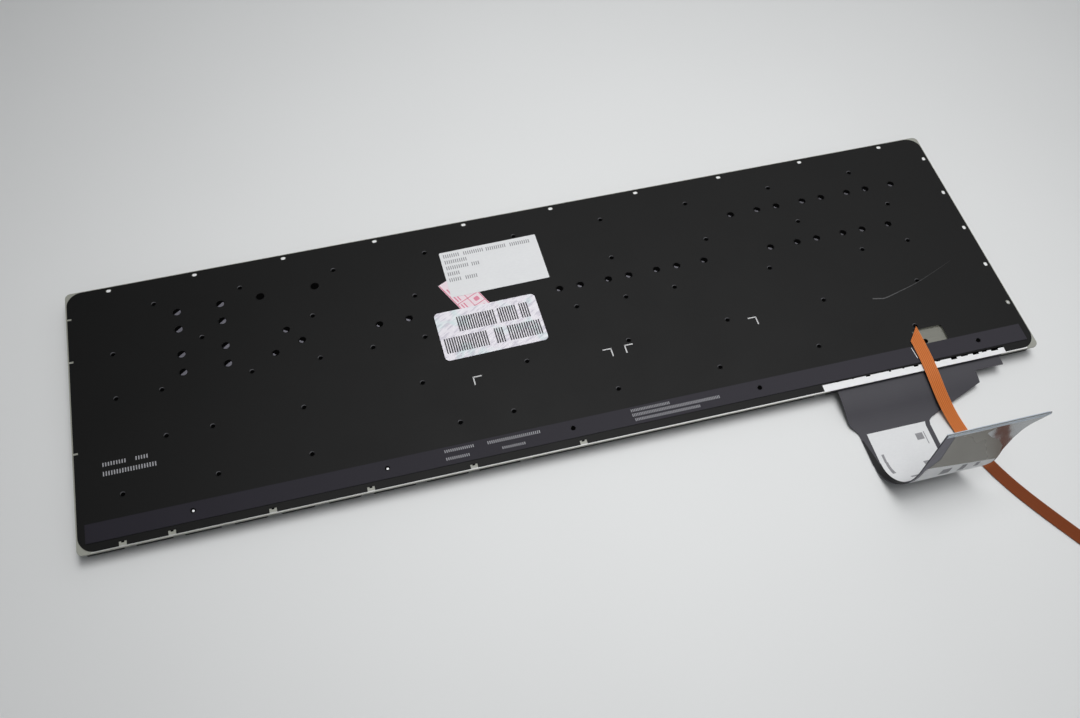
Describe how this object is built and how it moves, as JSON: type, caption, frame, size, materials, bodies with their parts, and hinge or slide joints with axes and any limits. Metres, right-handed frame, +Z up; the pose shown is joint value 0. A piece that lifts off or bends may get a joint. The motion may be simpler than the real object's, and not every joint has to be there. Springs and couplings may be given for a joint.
{
  "type": "laptop replacement keyboard",
  "caption": "Backlit laptop keyboard module lying keys down, with a pierced black back, a light strip, a curled film tail and an amber light ribbon.",
  "frame": {"origin": "middle of the module's footprint on the surface that its key tops lie on, film tail included", "axes": "+X along the board towards the tabulator side, +Y from the space bar to the function keys, +Z up from the key tops to the back"},
  "size_m": [0.342, 0.1936, 0.0337],
  "materials": {
    "keycap": "moulded, fine satin grain",
    "light_shield": "black printed film, soft sheen",
    "light_guide": "clear guide on a white reflector",
    "plate": "stamped sheet, dull",
    "film": "printed polyester film",
    "dome": "milky silicone",
    "lever": "moulded white plastic",
    "wire": "drawn wire",
    "light_strip": "coated flexible circuit",
    "ribbon": "amber polyimide film",
    "contact": "gilded contact fingers on a stiffener",
    "stiffener": "pale blue backing film",
    "paper": "plain paper sticker",
    "seal": "silver foil sticker",
    "tape": "tinted paper strip"
  },
  "bodies": {
    "board": {"function_row_keys": "keycap", "number_row_keys": "keycap", "punctuation_keys": "keycap", "modifier_keys": "keycap", "numpad_keys": "keycap", "back_sheet": "light_shield", "light_guide": "light_guide", "base_plate": "plate", "membrane_circuit": "film", "rubber_domes": "dome", "scissor_outer_levers": "lever", "scissor_inner_levers": "lever", "led_strip": "light_strip", "backlight_ribbon": "ribbon", "ribbon_contact_end": "contact", "tail_stiffener": "stiffener", "tail_label": "paper", "paper_label": "paper", "seal_label": "seal", "strip_label": "tape"},
    "arrow_down_key": {"arrow_down_key": "keycap"},
    "arrow_left_key": {"arrow_left_key": "keycap"},
    "arrow_right_key": {"arrow_right_key": "keycap"},
    "arrow_up_key": {"arrow_up_key": "keycap"},
    "backspace_key": {"backspace_key": "keycap"},
    "caps_lock_key": {"caps_lock_key": "keycap"},
    "enter_key": {"enter_key": "keycap"},
    "key_a": {"key_a": "keycap"},
    "key_b": {"key_b": "keycap"},
    "key_c": {"key_c": "keycap"},
    "key_d": {"key_d": "keycap"},
    "key_e": {"key_e": "keycap"},
    "key_f": {"key_f": "keycap"},
    "key_g": {"key_g": "keycap"},
    "key_h": {"key_h": "keycap"},
    "key_i": {"key_i": "keycap"},
    "key_j": {"key_j": "keycap"},
    "key_k": {"key_k": "keycap"},
    "key_l": {"key_l": "keycap"},
    "key_m": {"key_m": "keycap"},
    "key_n": {"key_n": "keycap"},
    "key_o": {"key_o": "keycap"},
    "key_p": {"key_p": "keycap"},
    "key_q": {"key_q": "keycap"},
    "key_r": {"key_r": "keycap"},
    "key_s": {"key_s": "keycap"},
    "key_t": {"key_t": "keycap"},
    "key_u": {"key_u": "keycap"},
    "key_v": {"key_v": "keycap"},
    "key_w": {"key_w": "keycap"},
    "key_x": {"key_x": "keycap"},
    "key_y": {"key_y": "keycap"},
    "key_z": {"key_z": "keycap"},
    "left_shift_key": {"left_shift_key": "keycap"},
    "right_shift_key": {"right_shift_key": "keycap"},
    "space_bar": {"space_bar": "keycap", "space_bar_wire": "wire"},
    "tab_key": {"tab_key": "keycap"}
  },
  "joints": [
    {"name": "arrow_down_key_press", "type": "slide", "parent": "board", "child": "arrow_down_key", "axis": [0, 0, 1], "range_m": [0, 0.0015], "stiffness_N_per_m": 350, "springref_m": -0.0005, "deforming": ["rubber_domes", "scissor_outer_levers", "scissor_inner_levers"]},
    {"name": "arrow_left_key_press", "type": "slide", "parent": "board", "child": "arrow_left_key", "axis": [0, 0, 1], "range_m": [0, 0.0015], "stiffness_N_per_m": 350, "springref_m": -0.0005, "deforming": ["rubber_domes", "scissor_outer_levers", "scissor_inner_levers"]},
    {"name": "arrow_right_key_press", "type": "slide", "parent": "board", "child": "arrow_right_key", "axis": [0, 0, 1], "range_m": [0, 0.0015], "stiffness_N_per_m": 350, "springref_m": -0.0005, "deforming": ["rubber_domes", "scissor_outer_levers", "scissor_inner_levers"]},
    {"name": "arrow_up_key_press", "type": "slide", "parent": "board", "child": "arrow_up_key", "axis": [0, 0, 1], "range_m": [0, 0.0015], "stiffness_N_per_m": 350, "springref_m": -0.0005, "deforming": ["rubber_domes", "scissor_outer_levers", "scissor_inner_levers"]},
    {"name": "backspace_key_press", "type": "slide", "parent": "board", "child": "backspace_key", "axis": [0, 0, 1], "range_m": [0, 0.0015], "stiffness_N_per_m": 350, "springref_m": -0.0005, "deforming": ["rubber_domes", "scissor_outer_levers", "scissor_inner_levers"]},
    {"name": "caps_lock_key_press", "type": "slide", "parent": "board", "child": "caps_lock_key", "axis": [0, 0, 1], "range_m": [0, 0.0015], "stiffness_N_per_m": 350, "springref_m": -0.0005, "deforming": ["rubber_domes", "scissor_outer_levers", "scissor_inner_levers"]},
    {"name": "enter_key_press", "type": "slide", "parent": "board", "child": "enter_key", "axis": [0, 0, 1], "range_m": [0, 0.0015], "stiffness_N_per_m": 350, "springref_m": -0.0005, "deforming": ["rubber_domes", "scissor_outer_levers", "scissor_inner_levers"]},
    {"name": "key_a_press", "type": "slide", "parent": "board", "child": "key_a", "axis": [0, 0, 1], "range_m": [0, 0.0015], "stiffness_N_per_m": 350, "springref_m": -0.0005, "deforming": ["rubber_domes", "scissor_outer_levers", "scissor_inner_levers"]},
    {"name": "key_b_press", "type": "slide", "parent": "board", "child": "key_b", "axis": [0, 0, 1], "range_m": [0, 0.0015], "stiffness_N_per_m": 350, "springref_m": -0.0005, "deforming": ["rubber_domes", "scissor_outer_levers", "scissor_inner_levers"]},
    {"name": "key_c_press", "type": "slide", "parent": "board", "child": "key_c", "axis": [0, 0, 1], "range_m": [0, 0.0015], "stiffness_N_per_m": 350, "springref_m": -0.0005, "deforming": ["rubber_domes", "scissor_outer_levers", "scissor_inner_levers"]},
    {"name": "key_d_press", "type": "slide", "parent": "board", "child": "key_d", "axis": [0, 0, 1], "range_m": [0, 0.0015], "stiffness_N_per_m": 350, "springref_m": -0.0005, "deforming": ["rubber_domes", "scissor_outer_levers", "scissor_inner_levers"]},
    {"name": "key_e_press", "type": "slide", "parent": "board", "child": "key_e", "axis": [0, 0, 1], "range_m": [0, 0.0015], "stiffness_N_per_m": 350, "springref_m": -0.0005, "deforming": ["rubber_domes", "scissor_outer_levers", "scissor_inner_levers"]},
    {"name": "key_f_press", "type": "slide", "parent": "board", "child": "key_f", "axis": [0, 0, 1], "range_m": [0, 0.0015], "stiffness_N_per_m": 350, "springref_m": -0.0005, "deforming": ["rubber_domes", "scissor_outer_levers", "scissor_inner_levers"]},
    {"name": "key_g_press", "type": "slide", "parent": "board", "child": "key_g", "axis": [0, 0, 1], "range_m": [0, 0.0015], "stiffness_N_per_m": 350, "springref_m": -0.0005, "deforming": ["rubber_domes", "scissor_outer_levers", "scissor_inner_levers"]},
    {"name": "key_h_press", "type": "slide", "parent": "board", "child": "key_h", "axis": [0, 0, 1], "range_m": [0, 0.0015], "stiffness_N_per_m": 350, "springref_m": -0.0005, "deforming": ["rubber_domes", "scissor_outer_levers", "scissor_inner_levers"]},
    {"name": "key_i_press", "type": "slide", "parent": "board", "child": "key_i", "axis": [0, 0, 1], "range_m": [0, 0.0015], "stiffness_N_per_m": 350, "springref_m": -0.0005, "deforming": ["rubber_domes", "scissor_outer_levers", "scissor_inner_levers"]},
    {"name": "key_j_press", "type": "slide", "parent": "board", "child": "key_j", "axis": [0, 0, 1], "range_m": [0, 0.0015], "stiffness_N_per_m": 350, "springref_m": -0.0005, "deforming": ["rubber_domes", "scissor_outer_levers", "scissor_inner_levers"]},
    {"name": "key_k_press", "type": "slide", "parent": "board", "child": "key_k", "axis": [0, 0, 1], "range_m": [0, 0.0015], "stiffness_N_per_m": 350, "springref_m": -0.0005, "deforming": ["rubber_domes", "scissor_outer_levers", "scissor_inner_levers"]},
    {"name": "key_l_press", "type": "slide", "parent": "board", "child": "key_l", "axis": [0, 0, 1], "range_m": [0, 0.0015], "stiffness_N_per_m": 350, "springref_m": -0.0005, "deforming": ["rubber_domes", "scissor_outer_levers", "scissor_inner_levers"]},
    {"name": "key_m_press", "type": "slide", "parent": "board", "child": "key_m", "axis": [0, 0, 1], "range_m": [0, 0.0015], "stiffness_N_per_m": 350, "springref_m": -0.0005, "deforming": ["rubber_domes", "scissor_outer_levers", "scissor_inner_levers"]},
    {"name": "key_n_press", "type": "slide", "parent": "board", "child": "key_n", "axis": [0, 0, 1], "range_m": [0, 0.0015], "stiffness_N_per_m": 350, "springref_m": -0.0005, "deforming": ["rubber_domes", "scissor_outer_levers", "scissor_inner_levers"]},
    {"name": "key_o_press", "type": "slide", "parent": "board", "child": "key_o", "axis": [0, 0, 1], "range_m": [0, 0.0015], "stiffness_N_per_m": 350, "springref_m": -0.0005, "deforming": ["rubber_domes", "scissor_outer_levers", "scissor_inner_levers"]},
    {"name": "key_p_press", "type": "slide", "parent": "board", "child": "key_p", "axis": [0, 0, 1], "range_m": [0, 0.0015], "stiffness_N_per_m": 350, "springref_m": -0.0005, "deforming": ["rubber_domes", "scissor_outer_levers", "scissor_inner_levers"]},
    {"name": "key_q_press", "type": "slide", "parent": "board", "child": "key_q", "axis": [0, 0, 1], "range_m": [0, 0.0015], "stiffness_N_per_m": 350, "springref_m": -0.0005, "deforming": ["rubber_domes", "scissor_outer_levers", "scissor_inner_levers"]},
    {"name": "key_r_press", "type": "slide", "parent": "board", "child": "key_r", "axis": [0, 0, 1], "range_m": [0, 0.0015], "stiffness_N_per_m": 350, "springref_m": -0.0005, "deforming": ["rubber_domes", "scissor_outer_levers", "scissor_inner_levers"]},
    {"name": "key_s_press", "type": "slide", "parent": "board", "child": "key_s", "axis": [0, 0, 1], "range_m": [0, 0.0015], "stiffness_N_per_m": 350, "springref_m": -0.0005, "deforming": ["rubber_domes", "scissor_outer_levers", "scissor_inner_levers"]},
    {"name": "key_t_press", "type": "slide", "parent": "board", "child": "key_t", "axis": [0, 0, 1], "range_m": [0, 0.0015], "stiffness_N_per_m": 350, "springref_m": -0.0005, "deforming": ["rubber_domes", "scissor_outer_levers", "scissor_inner_levers"]},
    {"name": "key_u_press", "type": "slide", "parent": "board", "child": "key_u", "axis": [0, 0, 1], "range_m": [0, 0.0015], "stiffness_N_per_m": 350, "springref_m": -0.0005, "deforming": ["rubber_domes", "scissor_outer_levers", "scissor_inner_levers"]},
    {"name": "key_v_press", "type": "slide", "parent": "board", "child": "key_v", "axis": [0, 0, 1], "range_m": [0, 0.0015], "stiffness_N_per_m": 350, "springref_m": -0.0005, "deforming": ["rubber_domes", "scissor_outer_levers", "scissor_inner_levers"]},
    {"name": "key_w_press", "type": "slide", "parent": "board", "child": "key_w", "axis": [0, 0, 1], "range_m": [0, 0.0015], "stiffness_N_per_m": 350, "springref_m": -0.0005, "deforming": ["rubber_domes", "scissor_outer_levers", "scissor_inner_levers"]},
    {"name": "key_x_press", "type": "slide", "parent": "board", "child": "key_x", "axis": [0, 0, 1], "range_m": [0, 0.0015], "stiffness_N_per_m": 350, "springref_m": -0.0005, "deforming": ["rubber_domes", "scissor_outer_levers", "scissor_inner_levers"]},
    {"name": "key_y_press", "type": "slide", "parent": "board", "child": "key_y", "axis": [0, 0, 1], "range_m": [0, 0.0015], "stiffness_N_per_m": 350, "springref_m": -0.0005, "deforming": ["rubber_domes", "scissor_outer_levers", "scissor_inner_levers"]},
    {"name": "key_z_press", "type": "slide", "parent": "board", "child": "key_z", "axis": [0, 0, 1], "range_m": [0, 0.0015], "stiffness_N_per_m": 350, "springref_m": -0.0005, "deforming": ["rubber_domes", "scissor_outer_levers", "scissor_inner_levers"]},
    {"name": "left_shift_key_press", "type": "slide", "parent": "board", "child": "left_shift_key", "axis": [0, 0, 1], "range_m": [0, 0.0015], "stiffness_N_per_m": 350, "springref_m": -0.0005, "deforming": ["rubber_domes", "scissor_outer_levers", "scissor_inner_levers"]},
    {"name": "right_shift_key_press", "type": "slide", "parent": "board", "child": "right_shift_key", "axis": [0, 0, 1], "range_m": [0, 0.0015], "stiffness_N_per_m": 350, "springref_m": -0.0005, "deforming": ["rubber_domes", "scissor_outer_levers", "scissor_inner_levers"]},
    {"name": "space_bar_press", "type": "slide", "parent": "board", "child": "space_bar", "axis": [0, 0, 1], "range_m": [0, 0.0015], "stiffness_N_per_m": 350, "springref_m": -0.0005, "deforming": ["rubber_domes", "scissor_outer_levers", "scissor_inner_levers"]},
    {"name": "tab_key_press", "type": "slide", "parent": "board", "child": "tab_key", "axis": [0, 0, 1], "range_m": [0, 0.0015], "stiffness_N_per_m": 350, "springref_m": -0.0005, "deforming": ["rubber_domes", "scissor_outer_levers", "scissor_inner_levers"]}
  ]
}
